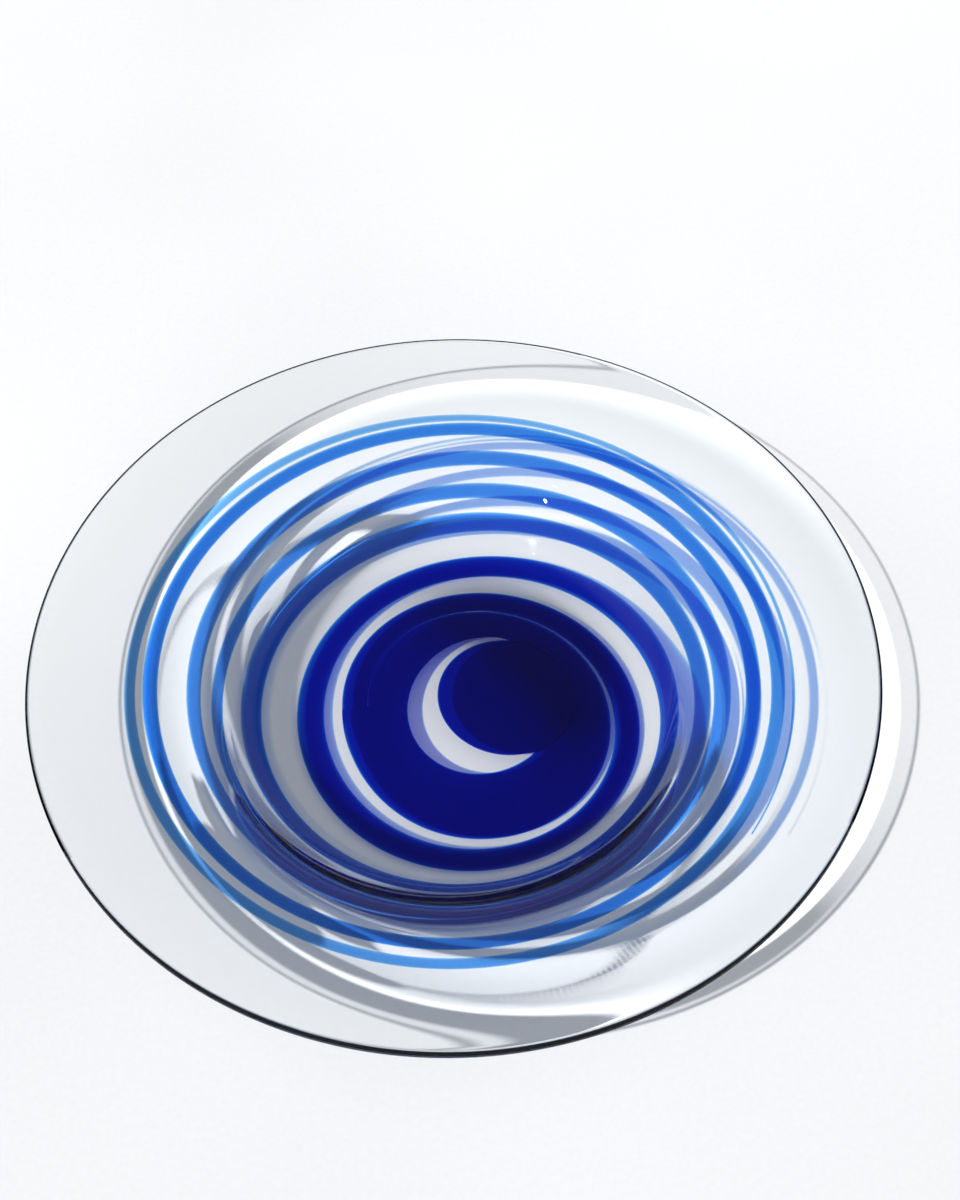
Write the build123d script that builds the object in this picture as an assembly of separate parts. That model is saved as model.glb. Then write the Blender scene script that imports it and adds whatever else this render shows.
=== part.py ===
"""Wide-rimmed hand-blown glass bowl with a cobalt spiral cased between two layers of clear glass.

Millimetres, +Z up. The origin is on the table, under the middle of the rim, and +Z is the bowl's axis.
Four pieces of glass are fused together: the inner clear gather, the cobalt dab at the centre, the
cobalt trail wound out from it, and the outer clear gather that cases both.
"""

from build123d import *
from math import cos, exp, radians, sin
import os

# Rim: a wide flange that ends in a fire-polished round lip
RIM_RADIUS = 175.0
RIM_HEIGHT = 53.0
LIP_RADIUS = 2.2
FLANGE_SLOPE = 15.0

# Foot: a ground and polished flat ring round a raised centre
FOOT_INNER_RADIUS = 72.0
FOOT_OUTER_RADIUS = 81.0
KICK_HEIGHT = 5.5

# Cobalt trail, wound clockwise as seen from above, and laid by hand: at each knot the centre (x, y)
# that it is wound about, the radius of its middle and its own width, measured along the glass
TRAIL_THICKNESS = 1.6
TRAIL_START_ANGLE = 180.0
TURNS_PER_KNOT = 0.55
TRAIL_KNOTS = [
    (10.7, 0.3, 52.2, 11.0),
    (10.4, -6.4, 64.6, 11.2),
    (11.8, -3.1, 74.3, 12.0),
    (8.8, -3.0, 87.0, 10.5),
    (5.8, -2.3, 97.2, 10.0),
    (4.5, -1.6, 103.4, 8.0),
    (4.3, -1.4, 107.4, 7.2),
    (4.4, -0.4, 111.6, 6.6),
    (3.9, 0.3, 119.5, 6.1),
    (3.0, 0.2, 127.9, 6.1),
    (2.4, -0.3, 132.2, 5.7),
    (1.5, -1.2, 135.4, 4.4),
    (-0.6, -2.6, 141.5, 0.8),
]
TRAIL_TURNS = TURNS_PER_KNOT * (len(TRAIL_KNOTS) - 1)
POINTS_PER_TURN = 12

# Seen from above, the trail is narrower where it climbs the wall
WALL_MIDDLE_RADIUS = 101.0
WALL_SPREAD = 8.5
WALL_NARROWS_BY = 0.48

# Slit between the first turn and the glass it is wound against, opening from a hairline
SLIT_WIDTH = 0.3
SLIT_OPENS_BY = 2.6

# Central dab, and the oval window that the first turn leaves, of which a clear crescent shows
DAB_RADIUS = 29.2
DAB_CENTRE = (22.8, 2.5)
WINDOW_RADII = (35.0, 31.3)
WINDOW_CENTRE = (13.2, -0.7)
WINDOW_LEAN = 60.0

# The lip's round is centred here, as (radius, height)
LIP_CENTRE = (RIM_RADIUS - LIP_RADIUS, RIM_HEIGHT - LIP_RADIUS)


def on_lip(turn):
    """A point of the lip's round, turn degrees up from the direction in which the flange runs."""
    angle = radians(FLANGE_SLOPE + turn)
    return (LIP_CENTRE[0] + LIP_RADIUS * cos(angle), LIP_CENTRE[1] + LIP_RADIUS * sin(angle))


# Section profiles as (radius, height), from the axis out to the lip.
# The upper surface has a low dome in the floor, a steep well wall and a wide shallow flange.
UPPER_PROFILE = [
    (0.0, 16.0),
    (36.0, 14.6),
    (70.0, 12.2),
    (88.0, 15.8),
    (99.0, 26.2),
    (110.0, 34.2),
    (137.0, 43.4),
    on_lip(90),
]
# The joint between the inner gather and the casing, on which the cobalt lies.
JOINT_PROFILE = [
    (0.0, 11.2),
    (30.0, 9.9),
    (60.0, 5.4),
    (78.0, 5.2),
    (90.0, 8.8),
    (101.5, 20.6),
    (112.0, 30.2),
    (138.0, 40.9),
    on_lip(0),
]
# The outside, from the foot ring to the lip.
OUTER_PROFILE = [
    (FOOT_OUTER_RADIUS, 0.0),
    (95.0, 7.0),
    (106.0, 19.6),
    (115.0, 27.4),
    (139.0, 37.7),
    on_lip(-90),
]

FLAT = Vector(1, 0, 0)
UP_THE_FLANGE = Vector(cos(radians(FLANGE_SLOPE)), 0, sin(radians(FLANGE_SLOPE)))
OUT_OF_THE_FOOT = Vector(1, 0, 0.3)
INTO_THE_FOOT = Vector(1, 0, -0.13)


def section_point(point):
    """A (radius, height) pair as a vector on the half plane that is revolved."""
    return Vector(point[0], 0, point[1])


def section_spline(profile, start, end):
    """A smooth section curve through the profile's points, with its two end directions."""
    return Spline(*[section_point(point) for point in profile], tangents=[start, end])


def joint_spline(drop=0.0):
    """The joint's section curve, lowered by drop."""
    lowered = [(radius, height - drop) for radius, height in JOINT_PROFILE]
    return section_spline(lowered, FLAT, UP_THE_FLANGE)


def lip_arc(start, end):
    """Part of the lip's round, between two turns from the flange's direction."""
    middle = on_lip((start + end) / 2)
    return ThreePointArc(*[section_point(point) for point in (on_lip(start), middle, on_lip(end))])


def revolved(*edges):
    """The solid that a closed section sweeps round the bowl's axis."""
    return revolve(make_face(Wire(list(edges))), Axis.Z)


def inner_gather():
    """The clear glass that was blown first: the whole upper skin, down to the joint."""
    upper = section_spline(UPPER_PROFILE, FLAT, UP_THE_FLANGE)
    joint = joint_spline()
    return revolved(upper, lip_arc(90, 0), joint, Line(joint @ 0, upper @ 0))


def whole_casing():
    """The outer clear gather, from the joint down, before the cobalt takes up its room in it."""
    joint = joint_spline()
    outer = section_spline(OUTER_PROFILE, OUT_OF_THE_FOOT, UP_THE_FLANGE)
    foot = Line((FOOT_INNER_RADIUS, 0, 0), (FOOT_OUTER_RADIUS, 0, 0))
    kick_profile = [(0, KICK_HEIGHT), (FOOT_INNER_RADIUS, 0)]
    kick = section_spline(kick_profile, FLAT, INTO_THE_FOOT)
    return revolved(joint, lip_arc(0, -90), outer, foot, kick, Line(kick @ 0, joint @ 0))


def cobalt_layer(above):
    """The revolved layer that the cobalt is cut from, reaching above the joint by the given height."""
    top = joint_spline(-above)
    bottom = joint_spline(TRAIL_THICKNESS)
    return revolved(top, Line(top @ 1, bottom @ 1), bottom, Line(bottom @ 0, top @ 0))


def on_knots(turn):
    """The trail's centre (x, y), radius and own width after so many turns, smoothly through the knots."""
    last = len(TRAIL_KNOTS) - 1
    index = min(int(turn / TURNS_PER_KNOT), last - 1)
    t = turn / TURNS_PER_KNOT - index
    nearby = [TRAIL_KNOTS[min(max(index + step, 0), last)] for step in (-1, 0, 1, 2)]
    weights = [
        (-t + 2 * t**2 - t**3) / 2,
        (2 - 5 * t**2 + 3 * t**3) / 2,
        (t + 4 * t**2 - 3 * t**3) / 2,
        (t**3 - t**2) / 2,
    ]
    return [sum(weight * knot[i] for weight, knot in zip(weights, nearby)) for i in range(4)]


def spiral_point(turn, side, beyond=0.0):
    """A point in plan: on the trail's middle (side 0) or an edge (side 1 or -1), or beyond it."""
    x, y, radius, own_width = on_knots(turn)
    angle = radians(TRAIL_START_ANGLE - 360 * turn)
    outwards = Vector(cos(angle), sin(angle), 0)
    middle = Vector(x, y, 0) + outwards * radius
    off_wall = (middle.length - WALL_MIDDLE_RADIUS) / WALL_SPREAD
    width = own_width * (1 - WALL_NARROWS_BY * exp(-(off_wall**2)))
    return middle + outwards * side * (width / 2 + beyond)


def slit_point(turn):
    """A point on the far side of the slit that parts the first turn from the centre."""
    first_gap = (spiral_point(1, -1) - spiral_point(0, 1)).length
    gap = SLIT_WIDTH + (first_gap - SLIT_WIDTH) * turn**SLIT_OPENS_BY
    return spiral_point(turn, -1, gap)


def cobalt_plan():
    """Everything cobalt in plan: the centre and the trail wound out of it, as one outline."""
    first_turn = [step / POINTS_PER_TURN for step in range(POINTS_PER_TURN)]
    steps = round(TRAIL_TURNS * POINTS_PER_TURN)
    turns = [TRAIL_TURNS * step / steps for step in range(steps + 1)]
    inside_slit = [slit_point(turn) for turn in first_turn]
    outside = Spline(*inside_slit, *[spiral_point(turn, 1) for turn in turns])
    inside = Spline(*[spiral_point(turn, -1) for turn in turns])
    tip = Line(outside @ 1, inside @ 1)
    slit_end = Line(inside @ 0, outside @ 0)
    return make_face(Wire([outside, tip, inside, slit_end]))


def standing(plan):
    """A plan face extruded up past the whole bowl."""
    return extrude(plan, RIM_HEIGHT, dir=(0, 0, 1))


def build():
    """Every piece of glass, by name."""
    dab_column = standing(Pos(*DAB_CENTRE) * Circle(DAB_RADIUS))
    window = Pos(*WINDOW_CENTRE) * Rot(0, 0, WINDOW_LEAN) * Ellipse(*WINDOW_RADII)
    window_column = standing(window)
    trail_column = standing(cobalt_plan()) - window_column - dab_column
    layer = cobalt_layer(0)
    cutter = cobalt_layer(1.0)
    casing = whole_casing() - (cutter & trail_column) - (cutter & dab_column)
    return {
        "clear_inner_gather": inner_gather(),
        "clear_outer_casing": casing,
        "cobalt_center_dab": layer & dab_column,
        "cobalt_spiral_trail": layer & trail_column,
    }


os.makedirs("parts", exist_ok=True)
for name, piece in build().items():
    export_step(piece, f"parts/{name}.step")
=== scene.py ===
"""Hand-blown glass bowl with a cased cobalt spiral, on a pale floor under one small key. Metres, +Z up."""

from math import cos, exp, pi, radians, sin, tan

import bmesh
import bpy
import numpy as np
from mathutils import Matrix, Vector


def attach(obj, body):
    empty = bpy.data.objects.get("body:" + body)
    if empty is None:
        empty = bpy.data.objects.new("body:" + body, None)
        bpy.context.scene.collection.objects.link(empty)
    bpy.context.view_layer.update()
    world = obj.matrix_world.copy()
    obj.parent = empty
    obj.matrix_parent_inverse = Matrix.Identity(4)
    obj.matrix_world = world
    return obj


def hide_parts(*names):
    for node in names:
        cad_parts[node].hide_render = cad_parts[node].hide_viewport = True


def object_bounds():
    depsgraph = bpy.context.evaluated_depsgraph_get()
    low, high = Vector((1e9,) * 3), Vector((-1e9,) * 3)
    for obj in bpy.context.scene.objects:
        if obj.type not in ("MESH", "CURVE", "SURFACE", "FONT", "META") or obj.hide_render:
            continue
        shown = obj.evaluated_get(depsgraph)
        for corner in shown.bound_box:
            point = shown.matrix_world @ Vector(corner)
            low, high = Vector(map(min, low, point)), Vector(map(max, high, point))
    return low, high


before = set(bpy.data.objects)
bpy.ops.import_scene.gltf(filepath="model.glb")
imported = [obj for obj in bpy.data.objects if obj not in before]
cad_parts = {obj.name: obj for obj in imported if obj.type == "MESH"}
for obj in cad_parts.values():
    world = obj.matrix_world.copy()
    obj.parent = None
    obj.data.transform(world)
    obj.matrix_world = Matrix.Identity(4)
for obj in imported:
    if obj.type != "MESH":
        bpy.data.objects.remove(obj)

CAD_BOX = [list(corner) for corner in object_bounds()]

# The design's own sizes are in millimetres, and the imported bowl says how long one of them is
RIM_RADIUS = 175.0
RIM_HEIGHT = 53.0
MM = (CAD_BOX[1][0] - CAD_BOX[0][0]) / (2 * RIM_RADIUS)
LIP_RADIUS = 1.8
FLANGE_SLOPE = 15.0
# By how many degrees the flange's underside closes on its top at the lip
RIM_TAPER = 9.0
FOOT_INNER_RADIUS = 72.0
FOOT_OUTER_RADIUS = 81.0
KICK_HEIGHT = 5.5

# Cobalt trail: at each knot its centre (x, y), the radius of its middle and its own width
TRAIL_THICKNESS = 1.6
TRAIL_START_ANGLE = 180.0
TURNS_PER_KNOT = 0.55
TRAIL_KNOTS = [
    (10.7, 0.3, 52.2, 11.0),
    (10.4, -6.4, 64.6, 11.2),
    (11.8, -3.1, 74.3, 12.0),
    (8.8, -3.0, 87.0, 10.5),
    (5.8, -2.3, 97.2, 10.0),
    (4.5, -1.6, 103.4, 8.0),
    (4.3, -1.4, 107.4, 7.2),
    (4.4, -0.4, 111.6, 6.6),
    (3.9, 0.3, 119.5, 6.1),
    (3.0, 0.2, 127.9, 6.1),
    (2.4, -0.3, 132.2, 5.7),
    (1.5, -1.2, 135.4, 4.4),
    (-0.6, -2.6, 141.5, 0.8),
]
TRAIL_TURNS = TURNS_PER_KNOT * (len(TRAIL_KNOTS) - 1)
WALL_MIDDLE_RADIUS = 101.0
WALL_SPREAD = 8.5
WALL_NARROWS_BY = 0.48
SLIT_WIDTH = 0.15
SLIT_OPENS_BY = 2.6
DAB_RADIUS = 29.2
DAB_CENTRE = (22.8, 2.5)
WINDOW_RADII = (35.0, 31.3)
WINDOW_CENTRE = (13.2, -0.7)
WINDOW_LEAN = 60.0

LIP_CENTRE = (RIM_RADIUS - LIP_RADIUS, RIM_HEIGHT - LIP_RADIUS)


def on_lip(turn):
    angle = radians(FLANGE_SLOPE + turn)
    return (LIP_CENTRE[0] + LIP_RADIUS * cos(angle), LIP_CENTRE[1] + LIP_RADIUS * sin(angle))


UPPER_PROFILE = [
    (0, 16.0), (36, 14.6), (70, 12.2), (88, 15.8), (99, 26.2), (110, 34.2), (137, 43.4), on_lip(90)
]
JOINT_PROFILE = [
    (0, 11.2), (30, 9.9), (60, 5.4), (78, 5.2), (90, 8.8), (101.5, 20.6), (112, 30.2), (138, 40.9), on_lip(0)
]
OUTER_PROFILE = [
    (FOOT_OUTER_RADIUS, 0), (95, 7.0), (106, 19.6), (115, 27.4), (139, 37.7), (157, 43.7),
    on_lip(-90 + RIM_TAPER),
]
KICK_PROFILE = [(0, KICK_HEIGHT), (FOOT_INNER_RADIUS, 0)]
FOOT_EASED_BY = 0.6
FLAT = (1.0, 0.0)
UP_THE_FLANGE = (cos(radians(FLANGE_SLOPE)), sin(radians(FLANGE_SLOPE)))
UP_THE_TAPER = (cos(radians(FLANGE_SLOPE + RIM_TAPER)), sin(radians(FLANGE_SLOPE + RIM_TAPER)))
OUT_OF_THE_FOOT = (1.0, 0.3)
INTO_THE_FOOT = (1.0, -0.13)

# How far the real bowl strays from round: its rim is fuller on the right, a little oval, and a little wavy
FULLER_RIGHT = 0.014
OVAL = 0.001
WAVE = 0.35
WAVES_ROUND, WAVES_START = 3, 0.8
WAVES_FADE_BELOW = 20.0

# Fineness of the meshes
STEPS_ROUND = 360
SECTION_STEP = 1.2
JOINT_STEP = 0.5
LIP_STEP = 10
TRAIL_STEPS_PER_TURN = 120
TRAIL_COLUMNS = 15
DAB_ROWS = 241

# The cobalt lies this far under the joint, is this much thinner than its pocket, and never thins to nothing
UNDER_THE_JOINT = 0.05
THINNER_THAN_POCKET = 0.1
THINNEST_SHARE = 0.03
# How far in from its edge the cobalt reaches its full thickness, where it ends free of its neighbour
CENTRE_FEATHER, WINDOW_FEATHER, DAB_FEATHER = 2.0, 1.0, 1.2
FREE_WITHIN = 1.5

# How dense the cobalt looks at each whole turn, and in the centre
DENSITY_BY_TURN = [3.2, 2.15, 1.25, 1.0, 0.95, 1.15, 0.6, 0.45]
CENTRE_DENSITY = 3.0
DAB_DENSITY = 3.4
# The turn by which the trail has parted from the centre, and those where the centre's edge swings into it again
PARTED_BY = 0.25
SWINGS_IN_FROM = 0.8
FUSED_FROM, FUSED_BY = 0.94, 0.99


def smooth_curve(profile, start, end, step=SECTION_STEP):
    """A clamped cubic spline through the profile's points, sampled about every step."""
    points = np.array(profile, float)
    spans = np.hypot(*np.diff(points, axis=0).T)
    matrix = np.eye(len(points))
    given = np.zeros_like(points)
    given[0] = np.array(start) / np.hypot(*start)
    given[-1] = np.array(end) / np.hypot(*end)
    for i in range(1, len(points) - 1):
        before, after = spans[i - 1], spans[i]
        matrix[i, i - 1:i + 2] = (after, 2 * (before + after), before)
        rise_before = (points[i] - points[i - 1]) / before
        rise_after = (points[i + 1] - points[i]) / after
        given[i] = 3 * (after * rise_before + before * rise_after)
    slopes = np.linalg.solve(matrix, given)
    samples = []
    for i, span in enumerate(spans):
        pieces = max(2, int(np.ceil(span / step)))
        for t in np.arange(pieces) / pieces:
            from_start = (2 * t**3 - 3 * t**2 + 1) * points[i] + (t**3 - 2 * t**2 + t) * span * slopes[i]
            from_end = (3 * t**2 - 2 * t**3) * points[i + 1] + (t**3 - t**2) * span * slopes[i + 1]
            samples.append(from_start + from_end)
    samples.append(points[-1])
    return np.array(samples)


def drawn_in(angle):
    """By what share of its radius the rim is drawn in at an angle."""
    return FULLER_RIGHT * ((1 - np.cos(angle)) / 2) ** 3 + OVAL * (1 - np.sin(2 * angle))


def hand_made(vertices):
    """The blower's small unevenness, the same in every piece, never out of the true form's bounds."""
    v = np.array(vertices, float)
    angle = np.arctan2(v[:, 1], v[:, 0])
    out = np.hypot(v[:, 0], v[:, 1]) / RIM_RADIUS
    v[:, :2] *= (1 - out**4 * drawn_in(angle))[:, None]
    wave = (1 - np.sin(WAVES_ROUND * angle + WAVES_START)) / 2
    v[:, 2] -= WAVE * wave * out**2 * np.clip(v[:, 2] / WAVES_FADE_BELOW, 0, 1)
    return v


def add_mesh(name, vertices, faces):
    mesh = bpy.data.meshes.new(name)
    mesh.from_pydata([tuple(v) for v in hand_made(vertices) * MM], [], faces)
    mesh.polygons.foreach_set("use_smooth", [True] * len(mesh.polygons))
    work = bmesh.new()
    work.from_mesh(mesh)
    bmesh.ops.recalc_face_normals(work, faces=work.faces)
    work.to_mesh(mesh)
    work.free()
    mesh.update()
    piece = bpy.data.objects.new(name, mesh)
    bpy.context.scene.collection.objects.link(piece)
    return piece


def lathe(name, section):
    """The closed surface that a section sweeps round the axis. The section starts and ends on the axis."""
    rings = section[1:-1]
    angles = np.arange(STEPS_ROUND) * 2 * pi / STEPS_ROUND
    vertices = [(0, 0, section[0][1])]
    for radius, height in rings:
        vertices += [(radius * cos(a), radius * sin(a), height) for a in angles]
    vertices.append((0, 0, section[-1][1]))
    last_ring = 1 + (len(rings) - 1) * STEPS_ROUND
    faces = []
    for k in range(STEPS_ROUND):
        n = (k + 1) % STEPS_ROUND
        faces.append((0, 1 + n, 1 + k))
        faces.append((len(vertices) - 1, last_ring + k, last_ring + n))
        for ring in range(len(rings) - 1):
            a, b = 1 + ring * STEPS_ROUND, 1 + (ring + 1) * STEPS_ROUND
            faces.append((a + k, a + n, b + n, b + k))
    return add_mesh(name, vertices, faces)


def clear_body():
    """Both clear gathers, which fuse into one body of glass with nothing to see between them."""
    kick = smooth_curve(KICK_PROFILE, FLAT, INTO_THE_FOOT)
    outer = smooth_curve(OUTER_PROFILE, OUT_OF_THE_FOOT, UP_THE_TAPER)
    upper = smooth_curve(UPPER_PROFILE, FLAT, UP_THE_FLANGE)
    foot = [
        (FOOT_INNER_RADIUS - FOOT_EASED_BY, 0.08),
        (FOOT_INNER_RADIUS, 0.0),
        (FOOT_INNER_RADIUS + FOOT_EASED_BY, 0.0),
        (FOOT_OUTER_RADIUS - FOOT_EASED_BY, 0.0),
        (FOOT_OUTER_RADIUS, 0.05),
    ]
    lip = [on_lip(turn) for turn in range(-70, 90, LIP_STEP)]
    return lathe("clear_glass_body", np.vstack([kick[:-1], foot, outer[1:], lip, upper[::-1]]))


# ---- cobalt
JOINT = smooth_curve(JOINT_PROFILE, FLAT, UP_THE_FLANGE, JOINT_STEP)


def direction(turn):
    angle = radians(TRAIL_START_ANGLE - 360 * turn)
    return np.array([cos(angle), sin(angle)])


def spiral_point(turn, side, beyond=0.0):
    """A point in plan: on the trail's middle (side 0), on an edge (side 1 or -1), between them or beyond."""
    last = len(TRAIL_KNOTS) - 1
    index = min(int(turn / TURNS_PER_KNOT), last - 1)
    t = turn / TURNS_PER_KNOT - index
    nearby = np.array([TRAIL_KNOTS[min(max(index + step, 0), last)] for step in (-1, 0, 1, 2)])
    weights = [-t + 2 * t**2 - t**3, 2 - 5 * t**2 + 3 * t**3, t + 4 * t**2 - 3 * t**3, t**3 - t**2]
    x, y, radius, own_width = np.array(weights) / 2 @ nearby
    middle = np.array([x, y]) + radius * direction(turn)
    off_wall = (np.hypot(*middle) - WALL_MIDDLE_RADIUS) / WALL_SPREAD
    width = own_width * (1 - WALL_NARROWS_BY * exp(-(off_wall**2)))
    return middle + side * (width / 2 + beyond) * direction(turn)


def slit_point(turn):
    """A point on the centre's edge, across the slit from the first turn. The edge ends on the trail."""
    first_gap = np.hypot(*(spiral_point(1, -1) - spiral_point(0, 1)))
    edge = spiral_point(turn, -1, SLIT_WIDTH + (first_gap - SLIT_WIDTH) * turn**SLIT_OPENS_BY)
    into_the_trail = np.clip((turn - SWINGS_IN_FROM) / (1 - SWINGS_IN_FROM), 0, 1) ** 2
    return edge + (spiral_point(0, 1) - spiral_point(1, -1, first_gap)) * into_the_trail


def still_joined(turn):
    """1 where the first turn of the trail is still one with the centre, 0 where they have parted."""
    return np.clip(1 - np.asarray(turn) / PARTED_BY, 0, 1)


def to_round(start, ray, centre, radii, lean=0.0):
    """How far along a ray from inside a round or oval its outline lies."""
    c, s = cos(radians(lean)), sin(radians(lean))
    turned = np.array([[c, s], [-s, c]]) / np.array(radii)[:, None]
    p, d = turned @ (start - np.array(centre)), turned @ ray
    along, size = p @ d, d @ d
    return (-along + np.sqrt(along**2 - size * (p @ p - 1))) / size


def slab(rows, share, density):
    """A closed sheet under the joint: vertices, faces, depth of colour at each vertex, and its end faces."""
    rows, share = np.array(rows), np.array(share)
    count, columns = rows.shape[0] * rows.shape[1], rows.shape[1]
    plan = rows.reshape(-1, 2)
    top = np.interp(np.hypot(*plan.T), *JOINT.T) - UNDER_THE_JOINT
    bottom = top - np.clip(share.ravel(), THINNEST_SHARE, 1.0) * (TRAIL_THICKNESS - THINNER_THAN_POCKET)
    vertices = np.vstack([np.column_stack([plan, top]), np.column_stack([plan, bottom])])
    faces = []
    for r in range(rows.shape[0] - 1):
        for c in range(columns - 1):
            quad = (r * columns + c, (r + 1) * columns + c, (r + 1) * columns + c + 1, r * columns + c + 1)
            faces.append(quad)
            faces.append(tuple(count + i for i in reversed(quad)))
    at = np.arange(count).reshape(rows.shape[:2])
    border = [*at[0, :-1], *at[:-1, -1], *at[-1, :0:-1], *at[:0:-1, 0]]
    on_an_end = [*at[0], *at[-1]]
    ends = []
    for a, b in zip(border, border[1:] + border[:1]):
        if a in on_an_end and b in on_an_end:
            ends.append(len(faces))
        faces.append((int(a), int(b), int(b) + count, int(a) + count))
    return vertices, faces, np.tile((share * density).ravel(), 2), ends


def trail_slab():
    """The wound trail: thick in the middle, feathering to its edges, and paler up the flange."""
    turns = np.linspace(0, TRAIL_TURNS, round(TRAIL_TURNS * TRAIL_STEPS_PER_TURN) + 1)
    across = np.sin(np.linspace(-1, 1, TRAIL_COLUMNS) * pi / 2)
    rows = [[spiral_point(turn, side) for side in across] for turn in turns]
    feather = (1 - across**6) ** 0.8
    share = np.where(across < 0, np.maximum(feather, still_joined(turns)[:, None]), feather)
    density = np.interp(turns, range(len(DENSITY_BY_TURN)), DENSITY_BY_TURN)
    return slab(rows, share, density[:, None])


def centre_slab():
    """The cobalt inside the first turn, round the window and the dab."""
    near_hole, between, near_slit = np.linspace(0, 0.1, 7), np.linspace(0.1, 0.85, 12), np.linspace(0.85, 1, 9)
    shares = np.concatenate([near_hole[:-1], between[:-1], near_slit])
    start = np.array(TRAIL_KNOTS[0][:2])
    rows, shares_there = [], []
    for turn in np.linspace(0, 1, 2 * TRAIL_STEPS_PER_TURN + 1):
        edge = slit_point(turn)
        span = np.hypot(*(edge - start))
        ray = (edge - start) / span
        window = to_round(start, ray, WINDOW_CENTRE, WINDOW_RADII, WINDOW_LEAN)
        dab = to_round(start, ray, DAB_CENTRE, (DAB_RADIUS, DAB_RADIUS))
        hole = max(window, dab)
        distance = hole + (span - hole) * shares
        rows.append([start + d * ray for d in distance])
        feather = np.clip((span - distance) / CENTRE_FEATHER, 0, 1) ** 0.5
        fused = np.clip((turn - FUSED_FROM) / (FUSED_BY - FUSED_FROM), 0, 1)
        at_slit = np.maximum(feather, max(still_joined(turn), fused))
        free_of_dab = np.clip((window - dab) / FREE_WITHIN, 0, 1)
        at_window = 1 - free_of_dab * (1 - np.clip((distance - hole) / WINDOW_FEATHER, 0, 1) ** 0.5)
        shares_there.append(at_slit * at_window)
    return slab(rows, shares_there, CENTRE_DENSITY)


def dab_slab():
    """The gathered dab at the centre, its crescent edge feathered."""
    shares = np.concatenate([np.linspace(0.01, 0.93, 12)[:-1], np.linspace(0.93, 1, 7)])
    centre = np.array(DAB_CENTRE)
    rows, shares_there = [], []
    for angle in -np.linspace(0, 2 * pi, DAB_ROWS):
        ray = np.array([cos(angle), sin(angle)])
        window = to_round(centre, ray, WINDOW_CENTRE, WINDOW_RADII, WINDOW_LEAN)
        free_of_trail = np.clip((window - DAB_RADIUS) / FREE_WITHIN, 0, 1)
        feather = np.clip((1 - shares) * DAB_RADIUS / DAB_FEATHER, 0, 1) ** 0.5
        rows.append([centre + DAB_RADIUS * share * ray for share in shares])
        shares_there.append(1 - free_of_trail * (1 - feather))
    return slab(rows, shares_there, DAB_DENSITY)


def cobalt_piece(name, slabs):
    """One piece of cobalt. Each corner carries its depth of colour, but the fused ends have none."""
    vertices, faces, depths, ends = [], [], [], []
    for slab_vertices, slab_faces, slab_depths, slab_ends in slabs:
        before = sum(len(v) for v in vertices)
        ends += [len(faces) + i for i in slab_ends]
        vertices.append(slab_vertices)
        faces += [tuple(before + i for i in face) for face in slab_faces]
        depths.append(slab_depths)
    piece = add_mesh(name, np.vstack(vertices), faces)
    at_corner = np.concatenate(depths)[[loop.vertex_index for loop in piece.data.loops]]
    for i in ends:
        at_corner[list(piece.data.polygons[i].loop_indices)] = 0
    depth = piece.data.attributes.new("depth", "FLOAT", "CORNER")
    depth.data.foreach_set("value", at_corner.astype(np.float32))
    return piece


# ---- materials
GLASS_IOR = 1.5
CLEAR_TINT = (0.985, 0.992, 0.994, 1)
# Painted shade: the dark colour that the glass takes at its edges where it turns away from view
PAINTED_EDGE_SHADE = (0.03, 0.035, 0.06, 1)
# From how far turned away, and by how far, painted shade takes the glass colour from clear to the dark edge
# colour
BODY_PAINTED_SHADE_RANGE = (0.9, 1.2)
LIP_PAINTED_SHADE_RANGE = (0.08, 0.4)
# What glass of density 1 passes of red, green and blue
COBALT_PASSES = (0.037, 0.223, 0.756)


def new_material(name):
    material = bpy.data.materials.new(name)
    material.use_nodes = True
    nodes = material.node_tree.nodes
    nodes.clear()
    return material, nodes, material.node_tree.links


def map_range(nodes, links, source, given, wanted, interpolation="LINEAR"):
    """A value brought from one range to another."""
    node = nodes.new("ShaderNodeMapRange")
    node.interpolation_type = interpolation
    node.inputs["From Min"].default_value, node.inputs["From Max"].default_value = given
    node.inputs["To Min"].default_value, node.inputs["To Max"].default_value = wanted
    links.new(source, node.inputs["Value"])
    return node.outputs[0]


def noise(nodes, links, where, scale, detail):
    node = nodes.new("ShaderNodeTexNoise")
    node.inputs["Scale"].default_value = scale
    node.inputs["Detail"].default_value = detail
    links.new(where, node.inputs["Vector"])
    return node.outputs["Fac"]


def two_colours(nodes, links, factor, first, second):
    node = nodes.new("ShaderNodeMix")
    node.data_type = "RGBA"
    node.inputs["A"].default_value = first
    node.inputs["B"].default_value = second
    links.new(factor, node.inputs["Factor"])
    return node.outputs["Result"]


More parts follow.
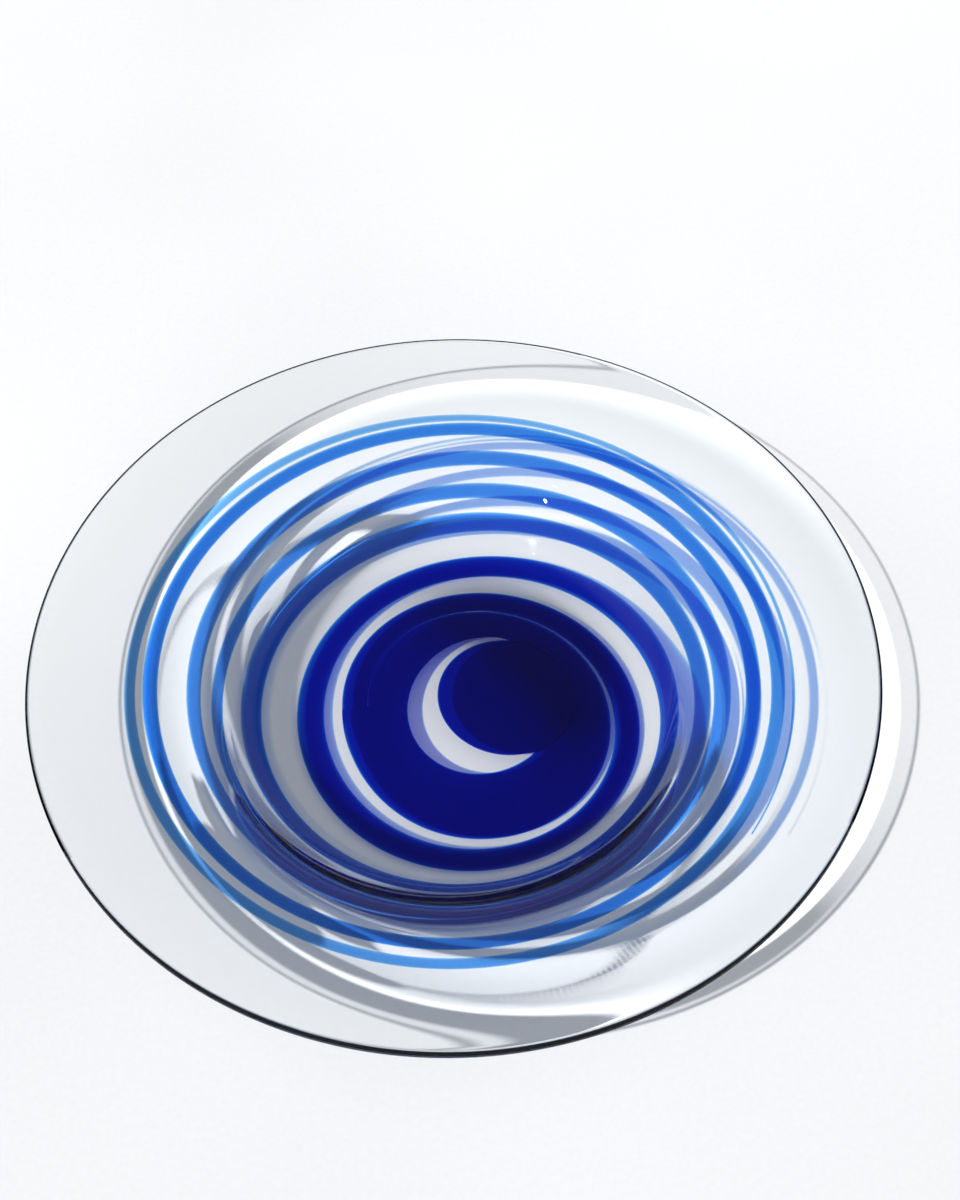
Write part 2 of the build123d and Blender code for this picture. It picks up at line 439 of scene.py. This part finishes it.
def clear_glass(name, painted_shade_range):
    """Polished clear glass, with painted shade darkening its colour where it turns away from view. Lamps that
    find no bent way through it go straight.
    """
    material, nodes, links = new_material(name)
    out = nodes.new("ShaderNodeOutputMaterial")
    mix = nodes.new("ShaderNodeMixShader")
    path = nodes.new("ShaderNodeLightPath")
    glass = nodes.new("ShaderNodeBsdfGlass")
    glass.inputs["Roughness"].default_value = 0.0
    glass.inputs["IOR"].default_value = GLASS_IOR
    facing = nodes.new("ShaderNodeLayerWeight")
    facing.inputs["Blend"].default_value = 0.5
    # Painted shade: the glass colour darkens by how far the surface turns away from view
    painted_shade_where_turned_away = map_range(nodes, links, facing.outputs["Facing"], painted_shade_range, (0.0, 1.0), "SMOOTHSTEP")
    links.new(two_colours(nodes, links, painted_shade_where_turned_away, CLEAR_TINT, PAINTED_EDGE_SHADE), glass.inputs["Color"])
    clear = nodes.new("ShaderNodeBsdfTransparent")
    fresnel = nodes.new("ShaderNodeFresnel")
    fresnel.inputs["IOR"].default_value = GLASS_IOR
    head_on_to_slanting, passes = (0.045, 0.3), (0.95, 0.1)
    links.new(map_range(nodes, links, fresnel.outputs[0], head_on_to_slanting, passes), clear.inputs["Color"])
    links.new(path.outputs["Is Shadow Ray"], mix.inputs[0])
    links.new(glass.outputs[0], mix.inputs[1])
    links.new(clear.outputs[0], mix.inputs[2])
    links.new(mix.outputs[0], out.inputs["Surface"])
    return material


def cobalt_glass(name):
    """Each face passes the square root of what the glass there does, COBALT_PASSES to the power of its depth."""
    material, nodes, links = new_material(name)
    out = nodes.new("ShaderNodeOutputMaterial")
    clear = nodes.new("ShaderNodeBsdfTransparent")
    depth = nodes.new("ShaderNodeAttribute")
    depth.attribute_name = "depth"
    colour = nodes.new("ShaderNodeCombineColor")
    for channel, passed in zip(("Red", "Green", "Blue"), COBALT_PASSES):
        power = nodes.new("ShaderNodeMath")
        power.operation = "POWER"
        power.inputs[0].default_value = passed**0.5
        links.new(depth.outputs["Fac"], power.inputs[1])
        links.new(power.outputs[0], colour.inputs[channel])
    links.new(colour.outputs[0], clear.inputs["Color"])
    links.new(clear.outputs[0], out.inputs["Surface"])
    return material


def floor_material():
    """Matt white card, with a faint mottle and grain, and painted shade that makes it a little darker towards
    the front.
    """
    material, nodes, links = new_material("pale_floor")
    out = nodes.new("ShaderNodeOutputMaterial")
    card = nodes.new("ShaderNodeBsdfDiffuse")
    where = nodes.new("ShaderNodeTexCoord").outputs["Object"]
    mottle = noise(nodes, links, where, scale=2.2, detail=2.0)
    grain = noise(nodes, links, where, scale=420.0, detail=3.0)
    both = nodes.new("ShaderNodeMath")
    both.operation = "MULTIPLY_ADD"
    both.inputs[1].default_value = 0.25
    links.new(grain, both.inputs[0])
    links.new(mottle, both.inputs[2])
    parts = nodes.new("ShaderNodeSeparateXYZ")
    links.new(where, parts.inputs[0])
    tone_with_painted_shade = nodes.new("ShaderNodeMath")
    tone_with_painted_shade.operation = "MULTIPLY"
    links.new(map_range(nodes, links, both.outputs[0], (0.4, 0.9), (0.78, 0.9)), tone_with_painted_shade.inputs[0])
    # Painted shade: the card's colour falls off towards the front (-Y)
    links.new(map_range(nodes, links, parts.outputs["Y"], (-0.3, 0.1), (0.93, 1.02)), tone_with_painted_shade.inputs[1])
    links.new(tone_with_painted_shade.outputs[0], card.inputs["Color"])
    links.new(card.outputs[0], out.inputs["Surface"])
    return material


# ---- pieces
body = clear_body()
body.data.materials.append(clear_glass("clear_glass", BODY_PAINTED_SHADE_RANGE))
# The lip's own material paints a broader dark outline of shade along the rim, left off at the front
body.data.materials.append(clear_glass("clear_glass_painted_dark_lip", LIP_PAINTED_SHADE_RANGE))
FRONT_OF_THE_RIM = -0.5 * RIM_RADIUS
for polygon in body.data.polygons:
    x, y, _ = polygon.center / MM
    rim_there = RIM_RADIUS * (1 - drawn_in(np.arctan2(y, x)))
    on_the_lip = np.hypot(x, y) > rim_there - LIP_RADIUS
    polygon.material_index = int(on_the_lip and y > FRONT_OF_THE_RIM)
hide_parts("clear_inner_gather", "clear_outer_casing")

trail = cobalt_piece("cobalt_spiral_trail_glass", [trail_slab(), centre_slab()])
trail.data.materials.append(cobalt_glass("cobalt_trail"))
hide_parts("cobalt_spiral_trail")

dab = cobalt_piece("cobalt_center_dab_glass", [dab_slab()])
dab.data.materials.append(cobalt_glass("cobalt_dab"))
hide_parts("cobalt_center_dab")

for piece in (body, trail, dab):
    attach(piece, "root")

# ---- floor
FLOOR_HALF = 40.0
FLOOR_BELOW_FOOT = 0.0002
floor_mesh = bpy.data.meshes.new("floor")
corners = [(x * FLOOR_HALF, y * FLOOR_HALF, 0) for x, y in ((-1, -1), (1, -1), (1, 1), (-1, 1))]
floor_mesh.from_pydata(corners, [], [(0, 1, 2, 3)])
floor_mesh.materials.append(floor_material())
floor = bpy.data.objects.new("floor", floor_mesh)
floor.location.z = -FLOOR_BELOW_FOOT
bpy.context.scene.collection.objects.link(floor)

# ---- light: a small key from the front left, which the glass bends into bright lines, and a pale room
SUN_TRAVELS = Vector((0.569, 0.526, -1.0))
SUN_ENERGY = 3.1
SUN_ACROSS = radians(1.2)
ROOM_LOW = (0.27, 0.28, 0.3, 1)
ROOM_HIGH = (0.44, 0.46, 0.49, 1)
DIM_CEILING = (0, 0.536, 0.844)
sun_data = bpy.data.lights.new("key", "SUN")
sun_data.energy = SUN_ENERGY
sun_data.angle = SUN_ACROSS
sun = bpy.data.objects.new("key", sun_data)
sun.rotation_euler = SUN_TRAVELS.to_track_quat("-Z", "Y").to_euler()
bpy.context.scene.collection.objects.link(sun)
sun_data.cycles.is_caustics_light = True
body.cycles.is_caustics_caster = True
floor.cycles.is_caustics_receiver = True


def pale_room():
    """A pale, soft room, lighter above and at the back, with one dim patch of ceiling over the far side."""
    world = bpy.data.worlds.new("room")
    world.use_nodes = True
    nodes, links = world.node_tree.nodes, world.node_tree.links
    background = nodes["Background"]
    where = nodes.new("ShaderNodeTexCoord").outputs["Generated"]
    parts = nodes.new("ShaderNodeSeparateXYZ")
    links.new(where, parts.inputs[0])
    lighter = nodes.new("ShaderNodeMath")
    lighter.operation = "MAXIMUM"
    high = map_range(nodes, links, parts.outputs["Z"], (0.3, 0.55), (0.0, 1.0), "SMOOTHSTEP")
    at_the_back = map_range(nodes, links, parts.outputs["Y"], (0.35, 0.7), (0.0, 1.0), "SMOOTHSTEP")
    links.new(high, lighter.inputs[0])
    links.new(at_the_back, lighter.inputs[1])
    links.new(two_colours(nodes, links, lighter.outputs[0], ROOM_LOW, ROOM_HIGH), background.inputs["Color"])
    ceiling = nodes.new("ShaderNodeVectorMath")
    ceiling.operation = "DOT_PRODUCT"
    ceiling.inputs[1].default_value = DIM_CEILING
    links.new(where, ceiling.inputs[0])
    strength = map_range(nodes, links, ceiling.outputs["Value"], (0.82, 0.97), (1.0, 0.25), "SMOOTHSTEP")
    links.new(strength, background.inputs["Strength"])
    return world


bpy.context.scene.world = pale_room()

# ---- camera
CAMERA_ELEVATION = radians(57.61)
CAMERA_DISTANCE = 4.565 * RIM_RADIUS * MM
# How far the view turns right of the bowl's middle, above it and round itself, in radians
CAMERA_YAW, CAMERA_PITCH, CAMERA_ROLL = 0.0169, 0.0628, -0.0144
LENS_MM = 55.5


def place_camera():
    place = Vector((0, -CAMERA_DISTANCE * cos(CAMERA_ELEVATION), CAMERA_DISTANCE * sin(CAMERA_ELEVATION)))
    ahead = -place.normalized()
    up = Vector((1, 0, 0)).cross(ahead)
    aim = (ahead + tan(CAMERA_YAW) * Vector((1, 0, 0)) + tan(CAMERA_PITCH) * up).normalized()
    level = aim.cross(Vector((0, 0, 1))).normalized()
    over = level.cross(aim)
    side = cos(CAMERA_ROLL) * level + sin(CAMERA_ROLL) * over
    head = cos(CAMERA_ROLL) * over - sin(CAMERA_ROLL) * level
    data = bpy.data.cameras.new("camera")
    data.lens = LENS_MM
    camera = bpy.data.objects.new("camera", data)
    turned = Matrix((side, head, -aim)).transposed().to_4x4()
    camera.matrix_world = Matrix.Translation(place) @ turned
    bpy.context.scene.collection.objects.link(camera)
    bpy.context.scene.camera = camera


place_camera()

scene = bpy.context.scene
scene.view_settings.view_transform = "Standard"
scene.cycles.max_bounces = 24
scene.cycles.transmission_bounces = 24
scene.cycles.glossy_bounces = 10
scene.cycles.transparent_max_bounces = 48
